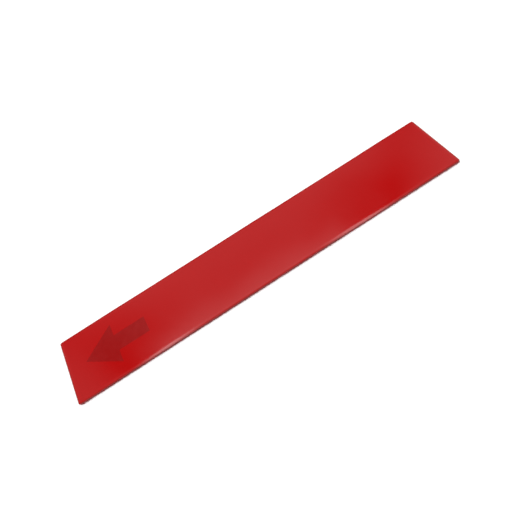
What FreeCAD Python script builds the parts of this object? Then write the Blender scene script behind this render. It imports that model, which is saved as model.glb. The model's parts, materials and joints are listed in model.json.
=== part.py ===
"""Short self-adhesive climbing skin for the kick zone of a ski, lying on its pile.

A die-cut laminate strip. From the bottom up: woven-in pile, ground cloth, waterproof membrane,
laminating glue, tape carrier film, tacky ski glue, release liner and the tip arrow printed on it.
All layers share one outline, a rectangle with small corner radii.

The release liner is one film. Its rear part peels back over itself in a half turn, so that part
is cut into rigid bands at the bend lines. Each band hinges on the one before it, about a line
across the strip on the film's upper face. The first and last bend lines turn half as far as
the others, so the bend lines stay on one round arc that leaves the strip smoothly.

Frame, in millimetres: the origin is on the pile's lower face at the middle of the strip,
+X runs to the tail end, +Y across, +Z up from the pile to the liner.
"""

import FreeCAD
import Part
import os

# Outline
LENGTH = 240.0
WIDTH = 40.0
CORNER_RADIUS = 1.0

# Layers from the bottom up: node name and thickness
PILE_HEIGHT = 1.60
LAMINATE = (
    ("pile", PILE_HEIGHT),
    ("ground_cloth", 0.30),
    ("membrane", 0.06),
    ("laminating_glue", 0.06),
    ("tape_carrier_film", 0.05),
    ("ski_glue", 0.11),
)
LINER_THICKNESS = 0.12

# Liner bend lines, counted from the one nearest the tip
BEND_COUNT = 9
BEND_PITCH = 7.5
FIRST_BEND_X = -10.0

# Tip arrow printed on the liner: it points to the tip, at -X
INK_THICKNESS = 0.02
ARROW_POINT_X = -109.0
ARROW_LENGTH = 38.0
ARROW_HEAD_LENGTH = 19.0
ARROW_HEAD_WIDTH = 25.0
ARROW_SHAFT_WIDTH = 10.0

# How far the cutting boxes reach past the film
OVERCUT = 5.0


def rounded_outline(length, width, radius):
    """The strip's outline as a face at z = 0, centred on the origin."""
    half_l, half_w = length / 2, width / 2
    bulge = radius * (1 - 0.5**0.5)
    edges = []
    corners = ((1, -1), (1, 1), (-1, 1), (-1, -1))
    arcs = []
    for i, (sx, sy) in enumerate(corners):
        on_side = FreeCAD.Vector(sx * (half_l - radius), sy * half_w, 0)
        on_end = FreeCAD.Vector(sx * half_l, sy * (half_w - radius), 0)
        middle = FreeCAD.Vector(sx * (half_l - bulge), sy * (half_w - bulge), 0)
        start, end = (on_side, on_end) if i % 2 == 0 else (on_end, on_side)
        arcs.append((start, middle, end))
    for i, (start, middle, end) in enumerate(arcs):
        edges.append(Part.Arc(start, middle, end).toShape())
        edges.append(Part.LineSegment(end, arcs[(i + 1) % len(arcs)][0]).toShape())
    return Part.Face(Part.Wire(edges))


def plate(bottom, thickness):
    """One whole layer of the strip."""
    face = rounded_outline(LENGTH, WIDTH, CORNER_RADIUS)
    face.translate(FreeCAD.Vector(0, 0, bottom))
    return face.extrude(FreeCAD.Vector(0, 0, thickness))


def band(layer, x_from, x_to):
    """The part of a layer between two cuts across the strip."""
    cutter = Part.makeBox(
        x_to - x_from,
        WIDTH + 2 * OVERCUT,
        2 * OVERCUT,
        FreeCAD.Vector(x_from, -WIDTH / 2 - OVERCUT, -OVERCUT),
    )
    return layer.common(cutter).Solids[0]


def make_laminate():
    """The bonded layers below the liner, and the height where they end."""
    nodes = {}
    height = 0.0
    for name, thickness in LAMINATE:
        nodes[name] = plate(height, thickness)
        height += thickness
    return nodes, height


def make_liner(bottom):
    """The liner: the part that stays stuck, then one band after each bend line."""
    film = plate(bottom, LINER_THICKNESS)
    bends = [FIRST_BEND_X + i * BEND_PITCH for i in range(BEND_COUNT)]
    nodes = {"release_liner_stuck": band(film, -LENGTH / 2 - OVERCUT, bends[0])}
    ends = bends[1:] + [LENGTH / 2 + OVERCUT]
    for i, (x_from, x_to) in enumerate(zip(bends, ends), start=1):
        nodes[f"release_liner_band_{i}"] = band(film, x_from, x_to)
    return nodes


def make_arrow(bottom):
    """The printed arrow, a film of ink on the liner."""
    neck_x = ARROW_POINT_X + ARROW_HEAD_LENGTH
    tail_x = ARROW_POINT_X + ARROW_LENGTH
    upper = [
        (ARROW_POINT_X, 0),
        (neck_x, ARROW_HEAD_WIDTH / 2),
        (neck_x, ARROW_SHAFT_WIDTH / 2),
        (tail_x, ARROW_SHAFT_WIDTH / 2),
    ]
    lower = [(x, -y) for x, y in reversed(upper[1:])]
    points = [FreeCAD.Vector(x, y, bottom) for x, y in upper + lower]
    face = Part.Face(Part.makePolygon(points + points[:1]))
    return face.extrude(FreeCAD.Vector(0, 0, INK_THICKNESS))


def main():
    nodes, liner_bottom = make_laminate()
    nodes.update(make_liner(liner_bottom))
    nodes["tip_arrow_print"] = make_arrow(liner_bottom + LINER_THICKNESS)
    os.makedirs("parts", exist_ok=True)
    for name, shape in nodes.items():
        if not shape.isValid():
            raise ValueError(f"{name} isn't a valid solid")
        shape.exportStep(f"parts/{name}.step")
        print(f"{name}: {shape.Volume:.2f} mm3")


main()
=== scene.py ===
"""Looks of a short self-adhesive climbing skin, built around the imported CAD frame.

The strip lies on its pile with the glossy red release liner up. Every layer is its own closed
mesh, and one gentle shape bends them all: the cut edge rolls down and the strip waves a little.
Lengths are in metres. +X runs to the tail end, +Y across the strip, +Z up.
"""

import json
import math

import bmesh
import bpy
import numpy as np
from mathutils import Matrix, Vector

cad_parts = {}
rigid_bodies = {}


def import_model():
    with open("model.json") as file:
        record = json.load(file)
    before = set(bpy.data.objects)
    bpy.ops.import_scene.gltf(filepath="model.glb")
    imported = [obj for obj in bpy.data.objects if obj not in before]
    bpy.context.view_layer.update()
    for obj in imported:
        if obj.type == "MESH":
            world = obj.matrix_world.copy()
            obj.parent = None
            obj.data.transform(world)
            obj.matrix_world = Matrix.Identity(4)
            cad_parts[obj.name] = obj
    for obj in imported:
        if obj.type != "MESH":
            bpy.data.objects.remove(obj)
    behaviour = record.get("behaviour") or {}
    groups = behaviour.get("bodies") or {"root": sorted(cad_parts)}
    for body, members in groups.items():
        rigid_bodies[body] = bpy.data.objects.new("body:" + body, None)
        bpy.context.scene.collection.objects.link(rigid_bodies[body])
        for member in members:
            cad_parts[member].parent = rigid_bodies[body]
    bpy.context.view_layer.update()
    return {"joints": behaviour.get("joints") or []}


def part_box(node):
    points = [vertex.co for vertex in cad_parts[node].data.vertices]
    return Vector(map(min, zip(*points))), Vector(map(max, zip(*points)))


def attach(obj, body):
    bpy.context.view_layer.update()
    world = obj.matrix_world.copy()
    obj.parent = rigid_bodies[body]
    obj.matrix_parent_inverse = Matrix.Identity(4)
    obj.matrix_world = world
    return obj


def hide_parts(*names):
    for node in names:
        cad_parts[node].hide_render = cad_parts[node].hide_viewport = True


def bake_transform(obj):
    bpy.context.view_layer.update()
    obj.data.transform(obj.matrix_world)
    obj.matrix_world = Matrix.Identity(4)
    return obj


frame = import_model()

# ---------------------------------------------------------------- sizes

HALF_LENGTH, HALF_WIDTH, PILE_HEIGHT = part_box("pile")[1]
CORNER_RADIUS = 0.001

# The cut edge rolls down, steepest at the edge, and is level again this far in
ROLL_DROP = 0.00029
ROLL_REACH = 0.0017
# Gentle waves of the whole strip: height, length along X, length along Y, phase
WAVES = (
    (0.000060, 0.093, 0.210, 0.6),
    (0.000035, 0.047, -0.120, 2.1),
    (0.000012, 0.029, 0.061, 4.0),
)
# Distances from an edge where a surface has points: close together where it rolls down
EDGE_STEPS_MM = (0, 0.1, 0.25, 0.45, 0.7, 1.0, 1.4, 2.0, 2.8, 3.8, 5.0, 6.5, 8.5, 10.5, 13.0, 16.5)
EDGE_STEPS = tuple(0.001 * step for step in EDGE_STEPS_MM)

# A corner of an outline has at least this many steps
LEAST_CORNER_STEPS = 4

# Faces that meet at more than this angle keep a sharp edge between them
CREASE_DEG = 40
FIBRE_CREASE_DEG = 80
# Points of a mesh that are closer together than this are one point
MERGE_DISTANCE = 1e-7

# Pitch of the ground cloth's yarns
YARN_PITCH = 0.0008


def heights(node):
    """The lowest and highest z of a CAD layer."""
    low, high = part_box(node)
    return low.z, high.z


# ---------------------------------------------------------------- shared shape


def half_width(x):
    """Half the strip's width at x, less at the rounded corners."""
    into = np.clip(np.abs(x) - (HALF_LENGTH - CORNER_RADIUS), 0, CORNER_RADIUS)
    return HALF_WIDTH - CORNER_RADIUS + np.sqrt(CORNER_RADIUS**2 - into**2)


def inside(x, y):
    """Distance from the strip's outline, for points inside it."""
    qx = np.abs(x) - (HALF_LENGTH - CORNER_RADIUS)
    qy = np.abs(y) - (HALF_WIDTH - CORNER_RADIUS)
    outer = np.hypot(np.maximum(qx, 0), np.maximum(qy, 0))
    return np.maximum(CORNER_RADIUS - outer - np.minimum(np.maximum(qx, qy), 0), 0)


def rise(x, y):
    """How far the strip's back is above or below its flat shape."""
    up = -ROLL_DROP * np.maximum(1 - inside(x, y) / ROLL_REACH, 0) ** 3
    for height, length_x, length_y, phase in WAVES:
        up = up + height * np.sin(2 * math.pi * (x / length_x + y / length_y) + phase)
    return up


def shaped(points):
    """Points of the flat strip moved to its real shape. The pile's foot stays on the ground."""
    points = np.array(points, float)
    share = np.clip(points[:, 2] / PILE_HEIGHT, 0, 1)
    points[:, 2] += rise(points[:, 0], points[:, 1]) * share
    return points


# ---------------------------------------------------------------- mesh building


def add_mesh(name, points, faces, material, crease_deg=CREASE_DEG):
    """A smooth-shaded mesh object, sharp where its faces meet at more than crease_deg."""
    mesh = bpy.data.meshes.new(name)
    mesh.from_pydata(np.asarray(points).tolist(), [], [list(map(int, f)) for f in faces])
    mesh.update()
    mesh.shade_smooth()
    mesh.set_sharp_from_angle(angle=math.radians(crease_deg))
    mesh.materials.append(material)
    obj = bpy.data.objects.new(name, mesh)
    bpy.context.scene.collection.objects.link(obj)
    return obj


def cleaned(obj):
    """The object with its doubled points merged, loose ones gone and its faces turned outwards."""
    bm = bmesh.new()
    bm.from_mesh(obj.data)
    bmesh.ops.remove_doubles(bm, verts=bm.verts, dist=MERGE_DISTANCE)
    loose = [v for v in bm.verts if not v.link_faces]
    bmesh.ops.delete(bm, geom=loose, context="VERTS")
    bmesh.ops.recalc_face_normals(bm, faces=bm.faces)
    bm.to_mesh(obj.data)
    bm.free()
    obj.data.set_sharp_from_angle(angle=math.radians(CREASE_DEG))
    return obj


def thickened(top, faces, thickness):
    """A closed shell from a surface: its points, the same points lower down, and the rim."""
    count = len(top)
    bottom = top - np.array((0, 0, thickness))
    edges = {(f[i], f[(i + 1) % len(f)]) for f in faces for i in range(len(f))}
    rim = [(b, a, a + count, b + count) for a, b in edges if (b, a) not in edges]
    under = [tuple(i + count for i in reversed(f)) for f in faces]
    return np.vstack((top, bottom)), list(faces) + under + sorted(rim)


def outline(step):
    """Points along the strip's outline about a step apart, the same on both sides of Y = 0."""
    long_side = HALF_LENGTH - CORNER_RADIUS
    short_side = HALF_WIDTH - CORNER_RADIUS
    quarter = [(x, HALF_WIDTH) for x in np.linspace(0, long_side, round(long_side / step) + 1)]
    count = max(LEAST_CORNER_STEPS, round(CORNER_RADIUS * math.pi / 2 / step))
    for angle in np.linspace(math.pi / 2, 0, count + 1)[1:]:
        corner = (math.cos(angle) * CORNER_RADIUS, math.sin(angle) * CORNER_RADIUS)
        quarter.append((long_side + corner[0], short_side + corner[1]))
    for y in np.linspace(short_side, 0, round(short_side / step) + 1)[1:]:
        quarter.append((HALF_LENGTH, y))
    quarter = np.array(quarter)
    right = np.vstack((quarter, quarter[-2::-1] * (1, -1)))
    return np.vstack((right, right[-2:0:-1] * (-1, 1)))[::-1]


def middle_line(line):
    """The points of the strip's middle line that an outline's points draw in towards."""
    reach = HALF_LENGTH - HALF_WIDTH
    return np.column_stack((np.clip(line[:, 0], -reach, reach), np.zeros(len(line))))


def drawn_in(line, inset):
    """An outline's points moved in from the edge by a distance."""
    return line + (middle_line(line) - line) * (inset / HALF_WIDTH)


def loft(name, step, profile, material, edge_wave=None):
    """A closed layer. The profile runs from the middle line over the top and round the rim to
    the middle line below: pairs of (distance in from the outline, height). edge_wave gives how
    far the outermost rings stand out at each point of the outline."""
    line = outline(step)
    outward = line - middle_line(line)
    outward /= np.linalg.norm(outward, axis=1)[:, None]
    rings = []
    for inset, height in profile:
        flat = drawn_in(line, inset)
        if edge_wave is not None and inset < ROLL_REACH:
            flat = flat + outward * (edge_wave(line) * (1 - inset / ROLL_REACH))[:, None]
        rings.append(np.column_stack((flat, np.full(len(flat), height))))
    count = len(line)
    faces = []
    for k in range(len(rings) - 1):
        for i in range(count):
            j = (i + 1) % count
            faces.append((k * count + i, (k + 1) * count + i, (k + 1) * count + j, k * count + j))
    return cleaned(add_mesh(name, shaped(np.vstack(rings)), faces, material))


def layer_profile(low, high, inset=0.0, bulge=0.0, underside=None):
    """A layer's profile, with its edge moved in by inset and a rim that stands out by bulge at its
    middle. underside gives the pairs of a lower side that isn't level."""
    over = [(HALF_WIDTH, high)] + [(step + inset, high) for step in reversed(EDGE_STEPS)]
    rim = [(inset - bulge, (low + high) / 2)]
    if underside is None:
        underside = [(step + inset, low) for step in EDGE_STEPS] + [(HALF_WIDTH, low)]
    return over + rim + underside


# ---------------------------------------------------------------- material tools

# The values that most of a noise texture lies between
NOISE_RANGE = (0.3, 0.7)


def new_material(name, color, roughness, **sockets):
    """A material with plain values set on the shader's own sockets, and its node tools."""
    material = bpy.data.materials.new(name)
    material.use_nodes = True
    tree = material.node_tree
    shader = tree.nodes["Principled BSDF"]
    shader.inputs["Base Color"].default_value = (*color, 1)
    shader.inputs["Roughness"].default_value = roughness
    for socket, value in sockets.items():
        shader.inputs[socket.replace("_", " ")].default_value = value
    return material, tree, shader


def place_node(tree):
    """Object coordinates in metres."""
    return tree.nodes.new("ShaderNodeTexCoord").outputs["Object"]


def noise_node(tree, place, scale, detail=2.0, stretch=(1, 1, 1)):
    """Noise with that many features a metre, stretched along the axes."""
    mapping = tree.nodes.new("ShaderNodeMapping")
    mapping.inputs["Scale"].default_value = stretch
    tree.links.new(place, mapping.inputs["Vector"])
    noise = tree.nodes.new("ShaderNodeTexNoise")
    noise.inputs["Scale"].default_value = scale
    noise.inputs["Detail"].default_value = detail
    tree.links.new(mapping.outputs["Vector"], noise.inputs["Vector"])
    return noise.outputs["Fac"]


def map_range(tree, value, source, target=(0, 1), smooth=False):
    """A value carried over from one range to another."""
    node = tree.nodes.new("ShaderNodeMapRange")
    if smooth:
        node.interpolation_type = "SMOOTHSTEP"
    limits = zip(("From Min", "From Max", "To Min", "To Max"), (*source, *target))
    for socket, limit in limits:
        node.inputs[socket].default_value = limit
    tree.links.new(value, node.inputs["Value"])
    return node.outputs["Result"]


def product(tree, first, second):
    """Two values multiplied."""
    node = tree.nodes.new("ShaderNodeMath")
    node.operation = "MULTIPLY"
    tree.links.new(first, node.inputs[0])
    tree.links.new(second, node.inputs[1])
    return node.outputs["Value"]


def two_tone(tree, value, first, second):
    """A colour between two, by a value. The second may be a node's output."""
    node = tree.nodes.new("ShaderNodeMix")
    node.data_type = "RGBA"
    node.inputs["A"].default_value = (*first, 1)
    if isinstance(second, tuple):
        node.inputs["B"].default_value = (*second, 1)
    else:
        tree.links.new(second, node.inputs["B"])
    tree.links.new(value, node.inputs["Factor"])
    return node.outputs["Result"]


def bump(tree, shader, value, depth, strength=1.0):
    """Relief of that depth in metres."""
    node = tree.nodes.new("ShaderNodeBump")
    node.inputs["Distance"].default_value = depth
    node.inputs["Strength"].default_value = strength
    tree.links.new(value, node.inputs["Height"])
    tree.links.new(node.outputs["Normal"], shader.inputs["Normal"])


def weave_node(tree, place, pitch):
    """Threads over and under each other, as a height from 0 to 1."""
    # At scale 1 the wave texture turns by 20 radians a metre, and a pitch is a full turn
    scale = math.pi / (10 * pitch)
    threads = []
    for axis, offset in (("X", 0.0), ("Y", math.pi / 2)):
        wave = tree.nodes.new("ShaderNodeTexWave")
        wave.bands_direction = axis
        wave.inputs["Scale"].default_value = scale
        wave.inputs["Phase Offset"].default_value = offset
        tree.links.new(place, wave.inputs["Vector"])
        threads.append(wave.outputs["Fac"])
    return product(tree, *threads)


# ---------------------------------------------------------------- materials

FILM_RED = (0.40, 0.003, 0.003)
# Painted shade: the darker red that the film's colour turns to at its cut edge
PAINTED_RIM_SHADE_RED = (0.30, 0.012, 0.010)
# Shade is painted into the liner's colour along the cut: darker and a little browner over this
# width
PAINTED_RIM_SHADE_WIDTH = 0.0011
FLOOR_GLOW = 0.22


def liner_material():
    """Glossy red plastic film, with a faint unevenness of pigment and gloss, and shade painted in
    along its cut edge.
    """
    material, tree, shader = new_material("liner_red_film", FILM_RED, roughness=0.10)
    place = place_node(tree)
    pigment = noise_node(tree, place, 18, detail=3, stretch=(0.5, 1, 1))
    tone = two_tone(tree, pigment, (0.390, 0.0028, 0.0028), (0.415, 0.0034, 0.0034))
    inset = tree.nodes.new("ShaderNodeAttribute")
    inset.attribute_name = "inset"
    painted_shade_fade = map_range(tree, inset.outputs["Fac"], (0, PAINTED_RIM_SHADE_WIDTH), smooth=True)
    # Painted shade: the film's colour darkens towards its cut edge
    tree.links.new(two_tone(tree, painted_shade_fade, PAINTED_RIM_SHADE_RED, tone), shader.inputs["Base Color"])
    haze = noise_node(tree, place, 60, detail=4)
    tree.links.new(map_range(tree, haze, NOISE_RANGE, (0.08, 0.12)), shader.inputs["Roughness"])
    bump(tree, shader, noise_node(tree, place, 140), depth=0.000002)
    return material


def ink_material():
    """Darker red ink, nearly as glossy as the film under it."""
    material, tree, shader = new_material("arrow_ink", (0.29, 0.0025, 0.0025), roughness=0.15)
    spread = noise_node(tree, place_node(tree), 400, detail=4)
    tone = two_tone(tree, spread, (0.270, 0.0022, 0.0022), (0.305, 0.0028, 0.0028))
    tree.links.new(tone, shader.inputs["Base Color"])
    tree.links.new(map_range(tree, spread, NOISE_RANGE, (0.12, 0.18)), shader.inputs["Roughness"])
    return material


def ski_glue_material():
    """Tacky dark glue with the cloth's weave showing faintly through it."""
    base = (0.045, 0.038, 0.028)
    material, tree, shader = new_material("ski_glue_tacky", base, roughness=0.22)
    place = place_node(tree)
    flow = noise_node(tree, place, 90, detail=4, stretch=(0.4, 1, 1))
    tone = two_tone(tree, flow, (0.036, 0.030, 0.021), (0.060, 0.050, 0.036))
    tree.links.new(tone, shader.inputs["Base Color"])
    tree.links.new(map_range(tree, flow, NOISE_RANGE, (0.16, 0.34)), shader.inputs["Roughness"])
    bump(tree, shader, weave_node(tree, place, YARN_PITCH), depth=0.00003, strength=0.5)
    return material


def inner_material(name, dark, light, roughness, scale):
    """A thin inner layer, of which only the cut edge shows."""
    material, tree, shader = new_material(name, dark, roughness)
    grain = noise_node(tree, place_node(tree), scale, detail=3)
    tree.links.new(two_tone(tree, grain, dark, light), shader.inputs["Base Color"])
    uneven = (roughness - 0.08, roughness + 0.08)
    tree.links.new(map_range(tree, grain, NOISE_RANGE, uneven), shader.inputs["Roughness"])
    return material


def cloth_material():
    """Woven ground cloth: relief of the threads, and yarns that differ a little in tone."""
    base = (0.16, 0.012, 0.013)
    material, tree, shader = new_material("ground_cloth_weave", base, roughness=0.85)
    place = place_node(tree)
    yarn = noise_node(tree, place, 1500, stretch=(0.1, 1, 1))
    tone = two_tone(tree, yarn, (0.120, 0.009, 0.010), (0.210, 0.017, 0.018))
    tree.links.new(tone, shader.inputs["Base Color"])
    bump(tree, shader, weave_node(tree, place, YARN_PITCH), depth=0.00012)
    return material


def pile_material():
    """Deep red pile fibres, with a soft sheen and a tone that changes from tuft to tuft."""
    material, tree, shader = new_material(
        "pile_fibre",
        (0.24, 0.016, 0.017),
        roughness=0.6,
        Specular_IOR_Level=0.2,
        Sheen_Weight=0.12,
        Sheen_Roughness=0.4,
        Sheen_Tint=(0.9, 0.3, 0.3, 1),
    )
    place = place_node(tree)
    tuft = noise_node(tree, place, 1100)
    tone = two_tone(tree, tuft, (0.205, 0.010, 0.011), (0.340, 0.016, 0.018))
    tree.links.new(tone, shader.inputs["Base Color"])
    strands = noise_node(tree, place, 9000, stretch=(0.1, 1, 1))
    bump(tree, shader, strands, depth=0.00003, strength=0.5)
    return material


def floor_material():
    """Pale matt paper on a light table: a faint glow, and the faintest unevenness of tone."""
    material, tree, shader = new_material(
        "pale_floor",
        (0.9, 0.9, 0.9),
        roughness=0.9,
        Specular_IOR_Level=0.1,
        Emission_Color=(1, 1, 1, 1),
        Emission_Strength=FLOOR_GLOW,
    )
    tooth = noise_node(tree, place_node(tree), 6)
    tone = two_tone(tree, tooth, (0.90, 0.90, 0.90), (0.91, 0.91, 0.91))
    tree.links.new(tone, shader.inputs["Base Color"])
    return material


# ---------------------------------------------------------------- release liner

# Distance between the film's cross sections, where it stays flat and where it rolls up
FLAT_STEP = 0.00075
ROLL_STEP = 0.00025
# How far a blend zone reaches from its bend line, in bend pitches; build_liner picks them per
# piece but passes them to nothing. The first and last zones reach less far outwards than into the
# roll
MIDDLE_REACH = 1.366
OUTWARD_REACH = 0.314
INWARD_REACH = 1.263
# A roll piece of the liner carries on inside the next one by a thin tongue: its length, how far
# it lies below the film's faces, and how far it stays back from the film's edges
TONGUE_LENGTH = 0.0002
TONGUE_DEPTH = 0.000004
TONGUE_SETBACK = 0.000004

# The printed arrow: its head's share of the length, its shaft's share of the width, and how many
# cells it has across, and along the head and the shaft
ARROW_HEAD_SHARE = 0.5
ARROW_SHAFT_SHARE = 0.4
ARROW_CELLS = 20


def stations(x_from, x_to, step):
    """Places along the strip from one cut to the next, closer together near a rounded end."""
    tip = [x for x in (-HALF_LENGTH + np.array(EDGE_STEPS)).tolist() if x_from <= x <= x_to]
    tail = [x for x in (HALF_LENGTH - np.array(EDGE_STEPS)).tolist() if x_from <= x <= x_to]
    low = max([x_from] + tip)
    high = min([x_to] + tail)
    count = max(1, round((high - low) / step))
    middle = np.linspace(low, high, count + 1).tolist()
    return sorted(set(tip + middle + tail))


def width_shares():
    """Shares of the half width where a surface has points, from one long edge to the other."""
    side = [1 - step / HALF_WIDTH for step in EDGE_STEPS]
    return np.array([-share for share in side] + [0.0] + side[::-1])


def film(x_from, x_to, step, tongue):
    """Points and faces of a stretch of film, made of closed sections across the strip. A film
    with a tongue goes on past x_to by a thinner stretch."""
    low, high = heights("release_liner_stuck")
    shares = width_shares()
    sections = [(x, low, high, 0.0) for x in stations(x_from, x_to, step)]
    if tongue:
        for x in (x_to, x_to + TONGUE_LENGTH):
            sections.append((x, low + TONGUE_DEPTH, high - TONGUE_DEPTH, TONGUE_SETBACK))
    points = []
    for x, bottom, top, setback in sections:
        ys = shares * (half_width(x) - setback)
        points += [(x, y, top) for y in ys] + [(x, y, bottom) for y in ys[::-1]]
    row = len(shares)
    loop = 2 * row
    faces = []
    for start in range(0, len(points) - loop, loop):
        for i in range(loop):
            j = (i + 1) % loop
            faces.append((start + i, start + loop + i, start + loop + j, start + j))
    for start in (0, len(points) - loop):
        for i in range(row - 1):
            faces.append((start + i, start + i + 1, start + loop - 2 - i, start + loop - 1 - i))
    return np.array(points), faces


def liner_piece(name, x_from, x_to, material, step=FLAT_STEP, tongue=False):
    """One stretch of the liner film. Each point keeps its distance from the strip's outline."""
    points, faces = film(x_from, x_to, step, tongue)
    obj = cleaned(add_mesh(name, shaped(points), faces, material))
    places = np.array([v.co for v in obj.data.vertices])
    inset = obj.data.attributes.new("inset", "FLOAT", "POINT")
    inset.data.foreach_set("value", inside(places[:, 0], places[:, 1]).astype(np.float32))
    return obj


def build_liner():
    """The liner film: stuck at the tip end, rolling up about the bend lines, flat beyond.

    Between two bend lines the film turns evenly, so each roll piece reaches from midway before
    its bend line to midway after it. Each piece's blend reach is picked, but nothing here passes
    it on, and the roll pieces are tied to no body. The first and last piece are half as long, on
    the bend lines where the roll starts and ends. In a tight roll two pieces part by some
    hundredths of a millimetre, and the tongues close that gap.
    """
    red = liner_material()
    bends = [joint["pos_m"][0] for joint in frame["joints"]]
    bodies = [frame["joints"][0]["parent"]] + [joint["child"] for joint in frame["joints"]]
    pitch = bends[1] - bends[0]
    last = len(bends) - 1
    stuck = liner_piece("liner_stuck", -HALF_LENGTH, bends[0], red)
    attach(stuck, bodies[0])
    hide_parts("release_liner_stuck")
    for i, x in enumerate(bends):
        x_from, before = x - pitch / 2, MIDDLE_REACH
        x_to, after = x + pitch / 2, MIDDLE_REACH
        if i == 0:
            x_from, before, after = x, OUTWARD_REACH, INWARD_REACH
        if i == last:
            x_to, before, after = x, INWARD_REACH, OUTWARD_REACH
        piece = liner_piece(f"liner_roll_{i + 1}", x_from, x_to, red, ROLL_STEP, tongue=i < last)
        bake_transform(piece)
        if i < last:
            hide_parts(f"release_liner_band_{i + 1}")
    free_end = liner_piece("liner_free_end", bends[-1], HALF_LENGTH, red)
    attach(free_end, bodies[-1])
    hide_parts(f"release_liner_band_{last + 1}")


def build_arrow():
    """The printed arrow, a film of ink that follows the liner. Its head and shaft share rows."""
    low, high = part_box("tip_arrow_print")
    neck = low.x + (high.x - low.x) * ARROW_HEAD_SHARE
    shares = np.linspace(-1, 1, ARROW_CELLS + 1)
    head = np.linspace(low.x, neck, ARROW_CELLS + 1)
    shaft = np.linspace(neck, high.x, ARROW_CELLS + 1)[1:]
    points, faces = [], []
    for x in (*head, *shaft):
        half = high.y * min(1, (x - low.x) / (neck - low.x))
        points += [(x, share * half, high.z) for share in shares]
    row = len(shares)
    for i in range(2 * ARROW_CELLS):
        for j in range(row - 1):
            from_middle = max(abs(shares[j]), abs(shares[j + 1]))
            in_shaft = from_middle < ARROW_SHAFT_SHARE + 1 / ARROW_CELLS
            if i < ARROW_CELLS or in_shaft:
                a, b = i * row + j, (i + 1) * row + j
                faces.append((a, b, b + 1, a + 1))
    points, faces = thickened(np.array(points), faces, high.z - low.z)
    obj = cleaned(add_mesh("tip_arrow", shaped(points), faces, ink_material()))
    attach(obj, "skin")
    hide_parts("tip_arrow_print")


# ---------------------------------------------------------------- bonded layers

# Distance between points round the outline
LAYER_STEP = 0.0005
CLOTH_STEP = 0.0002
# The cloth's edge: how far it stays in from the outline, how far its rim bulges, and how far the
# cut yarns stand out from it
CLOTH_INSET = 0.00006
CLOTH_BULGE = 0.00003
YARN_END = 0.00007


def yarn_ends(line):
    """How far the cut yarns of the ground cloth stand out along its edge."""
    around = np.hypot(*np.diff(np.vstack((line[:1], line)), axis=0).T).cumsum()
    return YARN_END * np.abs(np.sin(math.pi * around / YARN_PITCH))


def build_layers():
    """The thin layers between the liner and the cloth, each with its own cut edge."""
    carrier_tones = (0.075, 0.052, 0.048), (0.105, 0.076, 0.070)
    glue_tones = (0.050, 0.042, 0.032), (0.075, 0.064, 0.048)
    membrane_tones = (0.010, 0.008, 0.008), (0.018, 0.014, 0.014)
    carrier = inner_material("carrier_film", *carrier_tones, roughness=0.35, scale=500)
    glue = inner_material("laminating_glue", *glue_tones, roughness=0.40, scale=700)
    membrane = inner_material("membrane_film", *membrane_tones, roughness=0.45, scale=600)
    # Node, how far its edge stays in from the outline, how far its rim bulges, material
    layers = (
        ("ski_glue", 0.00003, 0.00002, ski_glue_material()),
        ("tape_carrier_film", 0.00001, 0.0, carrier),
        ("laminating_glue", 0.00005, 0.00002, glue),
        ("membrane", 0.00002, 0.0, membrane),
    )
    for node, inset, bulge, material in layers:
        profile = layer_profile(*heights(node), inset, bulge)
        piece = loft(f"{node}_layer", LAYER_STEP, profile, material)
        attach(piece, "skin")
        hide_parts(node)


def build_ground_cloth(on_it):
    """The woven cloth, with scalloped yarn ends along its cut edge."""
    profile = layer_profile(*heights("ground_cloth"), CLOTH_INSET, CLOTH_BULGE)
    cloth = loft("ground_cloth_weave", CLOTH_STEP, profile, cloth_material(), yarn_ends)
    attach(cloth, "skin")
    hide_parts("ground_cloth")


# ---------------------------------------------------------------- pile

# The core that the fibres grow from: distance between its points, how far its edge stays in from
# the outline, and its underside: pairs of distance in from the outline and share of the height
CORE_STEP = 0.001
CORE_INSET = 0.0001
CORE_UNDERSIDE = ((CORE_INSET, 0.40), (0.0006, 0.45), (0.0040, 0.45), (HALF_WIDTH, 0.45))

# Tufts stand in staggered rows: how far in the first row is, pitch of the rows, pitch along a
# row, how far a tuft strays from its place, and how near to the outline it may be
FIRST_ROW_INSET = 0.0006
ROW_PITCH = 0.0009
TUFT_PITCH = 0.0010
TUFT_STRAY = 0.00012
TUFT_LEAST_INSET = 0.00035

# Finer fibres stand in rings along the cut edge: distance between them, how far in the rings are,
# and how far a fibre strays
EDGE_FIBRE_STEP = 0.00014
EDGE_FIBRE_INSETS = (0.00012, 0.00030, 0.00052)
EDGE_FIBRE_STRAY = 0.00004

# Where the fibres are rooted is drawn with this seed
PLACE_SEED = 11
# Each kind of fibre: how high it is rooted, as a share of the pile's height, how far its heading
# spreads from the tail's, in radians, its least and greatest length and width, and the seed for
# how it turns and ends
TUFT = {
    "root": 0.70,
    "spread": 0.16,
    "length": (0.0012, 0.0019),
    "width": (0.00056, 0.00076),
    "seed": 12,
}
EDGE_FIBRE = {
    "root": 0.97,
    "spread": 0.35,
    "length": (0.0004, 0.0012),
    "width": (0.00012, 0.00020),
    "seed": 13,
}
# A fibre's rings: share of the way to its foot and share of its width
FIBRE_RINGS = ((0.0, 1.0), (0.35, 0.85), (0.75, 0.5))
# It leaves its root steeply and flattens out by this power
FIBRE_CURVE = 1.5
# Its rings lean with it: this much along its heading and this much up
RING_LEAN = (0.9, 0.45)
# Its foot ends between these heights, and no part of it is lower than the last
FOOT_HEIGHTS = (0.00002, 0.00014)
LEAST_HEIGHT = 0.00001


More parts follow.
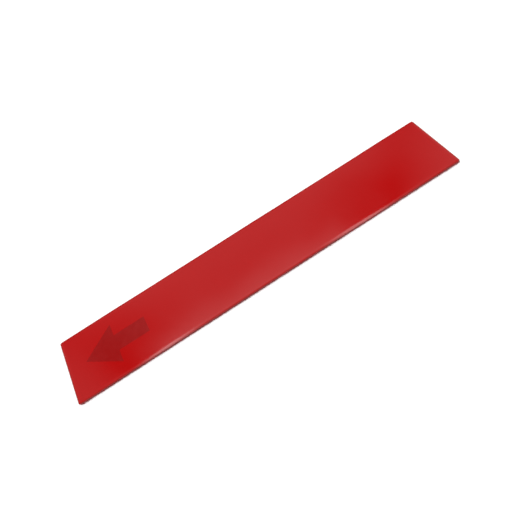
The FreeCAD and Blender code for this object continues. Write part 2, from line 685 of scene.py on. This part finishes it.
def fibres(name, spots, kind, material, draw):
    """Tapered three-sided fibres that curve from the spots where they are rooted to the ground."""
    count = len(spots)
    roots = np.column_stack((spots, np.full(count, kind["root"] * PILE_HEIGHT)))
    lean = draw.normal(0, kind["spread"], count)
    length = draw.uniform(*kind["length"], count)
    width = draw.uniform(*kind["width"], count)
    own_draw = np.random.default_rng(kind["seed"])
    spin = own_draw.uniform(0, 2 * math.pi, count)
    foot = own_draw.uniform(*FOOT_HEIGHTS, count)
    heading = np.column_stack((np.cos(lean), np.sin(lean), np.zeros(count)))
    side = np.column_stack((-np.sin(lean), np.cos(lean), np.zeros(count)))
    tilt = RING_LEAN[0] * heading + np.array((0, 0, RING_LEAN[1]))
    rings = []
    for along, wide in FIBRE_RINGS:
        centre = roots + heading * (length * along**FIBRE_CURVE)[:, None]
        centre[:, 2] = roots[:, 2] + (foot - roots[:, 2]) * along
        reach = 0.5 * width * wide
        for corner in range(3):
            angle = spin + corner * 2 * math.pi / 3
            sideways = side * (np.cos(angle) * reach)[:, None]
            rings.append(centre + (sideways + tilt * (np.sin(angle) * reach)[:, None]))
    tip = roots + heading * length[:, None]
    tip[:, 2] = foot
    points = np.stack((*rings, tip), axis=1)
    each = points.shape[1]
    points = shaped(points.reshape(-1, 3))
    points[:, 2] = np.maximum(points[:, 2], LEAST_HEIGHT)
    # The root's end, two bands of three sides, and three sides up to the tip
    faces = [(2, 1, 0)]
    for level in range(2):
        for corner in range(3):
            a, b = level * 3 + corner, level * 3 + (corner + 1) % 3
            faces.append((a, b, b + 3, a + 3))
    faces += [(6, 7, 9), (7, 8, 9), (8, 6, 9)]
    all_faces = [tuple(i + k * each for i in f) for k in range(count) for f in faces]
    obj = add_mesh(name, points, all_faces, material, FIBRE_CREASE_DEG)
    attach(obj, "skin")
    return obj


def tuft_spots(draw):
    """Where the tufts are rooted: staggered rows, each tuft a little off its place."""
    spots = []
    for i, y in enumerate(np.arange(-HALF_WIDTH + FIRST_ROW_INSET, HALF_WIDTH, ROW_PITCH)):
        xs = np.arange(-HALF_LENGTH + TUFT_PITCH / 2, HALF_LENGTH - TUFT_PITCH, TUFT_PITCH)
        xs = xs + (i % 2) * TUFT_PITCH / 2
        spots += [(x, y) for x in xs]
    spots = np.array(spots) + draw.normal(0, TUFT_STRAY, (len(spots), 2))
    return spots[inside(spots[:, 0], spots[:, 1]) > TUFT_LEAST_INSET]


def edge_fibre_spots(draw):
    """Where the finer fibres are rooted: rings just inside the outline."""
    line = outline(EDGE_FIBRE_STEP)
    spots = np.vstack([drawn_in(line, inset) for inset in EDGE_FIBRE_INSETS])
    return spots + draw.normal(0, EDGE_FIBRE_STRAY, spots.shape)


def build_pile():
    """A core, tufts in staggered rows that lean to the tail, and finer fibres round the edge."""
    red = pile_material()
    underside = [(inset, share * PILE_HEIGHT) for inset, share in CORE_UNDERSIDE]
    profile = layer_profile(underside[0][1], PILE_HEIGHT, CORE_INSET, underside=underside)
    core = loft("pile_core", CORE_STEP, profile, red)
    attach(core, "skin")
    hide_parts("pile")
    draw = np.random.default_rng(PLACE_SEED)
    field = fibres("pile_tufts", tuft_spots(draw), TUFT, red, draw)
    edge = fibres("pile_edge_fibres", edge_fibre_spots(draw), EDGE_FIBRE, red, draw)
    return [core, field, edge]


# ---------------------------------------------------------------- stage, light, camera

FLOOR_REACH = 3.0

# Upright panels behind and beside the strip: name, azimuth from +Y towards +X in degrees,
# distance, width, lowest and highest height, radiance, fades
UPRIGHT_PANELS = (
    ("panel_back", 4.1, 0.70, 1.235, 0.63, 1.80, 0.41, (0.42, 0.35, 0.03, 0.05)),
    ("panel_left", -60, 0.70, 0.57, 0.12, 1.80, 0.38, (0.22, 0.20, 0.20, 0.10)),
    ("panel_right", 63, 0.70, 0.55, 0.10, 1.80, 0.63, (0.20, 0.37, 0.14, 0.10)),
    ("panel_low_left", -29, 0.70, 0.52, 0.50, 0.95, 0.22, (0.30, 0.35, 0.05, 0.55)),
    ("panel_low_right", 33, 0.70, 0.54, 0.50, 0.88, 0.22, (0.35, 0.30, 0.05, 0.40)),
    ("panel_low_back", 4, 0.66, 1.20, 0.58, 1.05, 0.16, (0.30, 0.34, 0.05, 0.60)),
)
# Boxes that shine down from above: name, centre, size along X and Y, radiance, fades
BOXES_ABOVE = (
    ("ceiling", (-0.02, 0.23, 0.90), 0.67, 0.66, 0.60, (0.05, 0.09, 0.10, 0.12)),
    ("ceiling_strip", (-0.02, 0.33, 0.88), 0.60, 0.26, 0.40, (0.15, 0.15, 0.30, 0.30)),
    ("box_above_left", (-0.179, 0.05, 0.65), 0.16, 0.60, 3.3, (0.65, 0.15, 0.10, 0.05)),
    ("box_above_right", (0.224, 0.05, 0.65), 0.16, 0.60, 3.3, (0.15, 0.70, 0.10, 0.05)),
)
# Soft keys: name, azimuth from -Y towards +X, elevation and spread in degrees, strength
KEYS = (
    ("key_left", -88, 38, 56, 1.60),
    ("key_right", 88, 38, 56, 1.60),
    ("key_front", 0, 36, 44, 0.77),
)
# World: its strength at the horizon and overhead, and how high a direction points where it is dim
HORIZON_STRENGTH = 0.95
ROOM_STRENGTH = 0.015
ROOM_FROM = 0.45

# Camera: the direction it stands in and its roll, in degrees, its distance, the point it aims at
CAMERA_AZIMUTH = -5.524
CAMERA_ELEVATION = 56.662
CAMERA_ROLL = -27.914
CAMERA_DISTANCE = 0.25861
CAMERA_AIM = Vector((-0.00099, -0.00094, 0.0017))
SENSOR_WIDTH_MM = 36
LENS_MM = 32.959


def build_floor():
    """A wide pale floor under the pile."""
    mesh = bpy.data.meshes.new("floor")
    signs = ((-1, -1), (1, -1), (1, 1), (-1, 1))
    corners = [(x * FLOOR_REACH, y * FLOOR_REACH, 0) for x, y in signs]
    mesh.from_pydata(corners, [], [(0, 1, 2, 3)])
    mesh.materials.append(floor_material())
    floor = bpy.data.objects.new("floor", mesh)
    bpy.context.scene.collection.objects.link(floor)


def aimed(back, roll_deg=0.0):
    """The rotation of a lamp or camera that looks against back, rolled about its own axis."""
    turn = (-back).to_track_quat("-Z", "Y").to_matrix()
    return (turn @ Matrix.Rotation(math.radians(roll_deg), 3, "Z")).to_4x4()


def direction(azimuth_deg, elevation_deg):
    """A direction from the strip: azimuth 0 is towards -Y and 90 towards +X."""
    azimuth, elevation = math.radians(azimuth_deg), math.radians(elevation_deg)
    flat = math.cos(elevation)
    return Vector((math.sin(azimuth) * flat, -math.cos(azimuth) * flat, math.sin(elevation)))


def add_lamp(name, lamp, centre, back):
    """A lamp object that shines against back, unseen by the camera."""
    obj = bpy.data.objects.new(name, lamp)
    obj.matrix_world = Matrix.Translation(centre) @ aimed(back)
    obj.visible_camera = False
    bpy.context.scene.collection.objects.link(obj)
    return obj


def soft_box(name, centre, back, width, height, radiance, fades):
    """A soft studio panel. fades are the shares of its size over which its light dies away at
    its +X, -X, lower and upper edges. In a box above, the last two are the edges across Y."""
    lamp = bpy.data.lights.new(name, "AREA")
    lamp.shape = "RECTANGLE"
    lamp.size, lamp.size_y = width, height
    lamp.energy = radiance * math.pi * width * height
    add_lamp(name, lamp, centre, back)
    lamp.use_nodes = True
    tree = lamp.node_tree
    emission = next(node for node in tree.nodes if node.type == "EMISSION")
    place = tree.nodes.new("ShaderNodeSeparateXYZ")
    geometry = tree.nodes.new("ShaderNodeNewGeometry")
    tree.links.new(geometry.outputs["Parametric"], place.inputs["Vector"])
    light = None
    for axis, edge, fade in zip("XXYY", (0, 1, 0, 1), fades):
        inner = edge + fade * (1 - 2 * edge)
        ramp = map_range(tree, place.outputs[axis], (edge, inner), smooth=True)
        light = ramp if light is None else product(tree, light, ramp)
    tree.links.new(light, emission.inputs["Strength"])


def upright_panel(name, azimuth_deg, distance, width, low, high, radiance, fades):
    """An upright panel that faces the strip."""
    azimuth = math.radians(azimuth_deg)
    out = Vector((math.sin(azimuth), math.cos(azimuth), 0))
    centre = out * distance + Vector((0, 0, (low + high) / 2))
    soft_box(name, centre, out, width, high - low, radiance, fades)


def build_lights():
    """Panels round the back that the film mirrors, boxes above, and keys that only light."""
    for panel in UPRIGHT_PANELS:
        upright_panel(*panel)
    for name, centre, *rest in BOXES_ABOVE:
        soft_box(name, Vector(centre), Vector((0, 0, 1)), *rest)
    for name, azimuth, elevation, spread, energy in KEYS:
        key = bpy.data.lights.new(name, "SUN")
        key.angle = math.radians(spread)
        key.energy = energy
        back = direction(azimuth, elevation)
        add_lamp(name, key, back, back).visible_glossy = False


def build_world():
    """A pale horizon that fades to a dim room higher up."""
    world = bpy.data.worlds.new("studio")
    world.use_nodes = True
    tree = world.node_tree
    place = tree.nodes.new("ShaderNodeSeparateXYZ")
    coordinates = tree.nodes.new("ShaderNodeTexCoord")
    tree.links.new(coordinates.outputs["Generated"], place.inputs["Vector"])
    strengths = (HORIZON_STRENGTH, ROOM_STRENGTH)
    strength = map_range(tree, place.outputs["Z"], (0, ROOM_FROM), strengths, smooth=True)
    tree.links.new(strength, tree.nodes["Background"].inputs["Strength"])
    tree.nodes["Background"].inputs["Color"].default_value = (1, 1, 1, 1)
    bpy.context.scene.world = world


def build_camera():
    """A close wide view from above one long side, rolled so that the strip climbs to the right."""
    camera = bpy.data.cameras.new("camera")
    camera.sensor_width = SENSOR_WIDTH_MM
    camera.lens = LENS_MM
    camera.clip_start, camera.clip_end = 0.01, 20
    obj = bpy.data.objects.new("camera", camera)
    back = direction(CAMERA_AZIMUTH, CAMERA_ELEVATION)
    place = Matrix.Translation(CAMERA_AIM + back * CAMERA_DISTANCE)
    obj.matrix_world = place @ aimed(back, CAMERA_ROLL)
    bpy.context.scene.collection.objects.link(obj)
    bpy.context.scene.camera = obj
    bpy.context.scene.view_settings.view_transform = "Standard"


build_camera()
build_liner()
build_arrow()
build_layers()
build_ground_cloth(build_pile())
build_floor()
build_lights()
build_world()
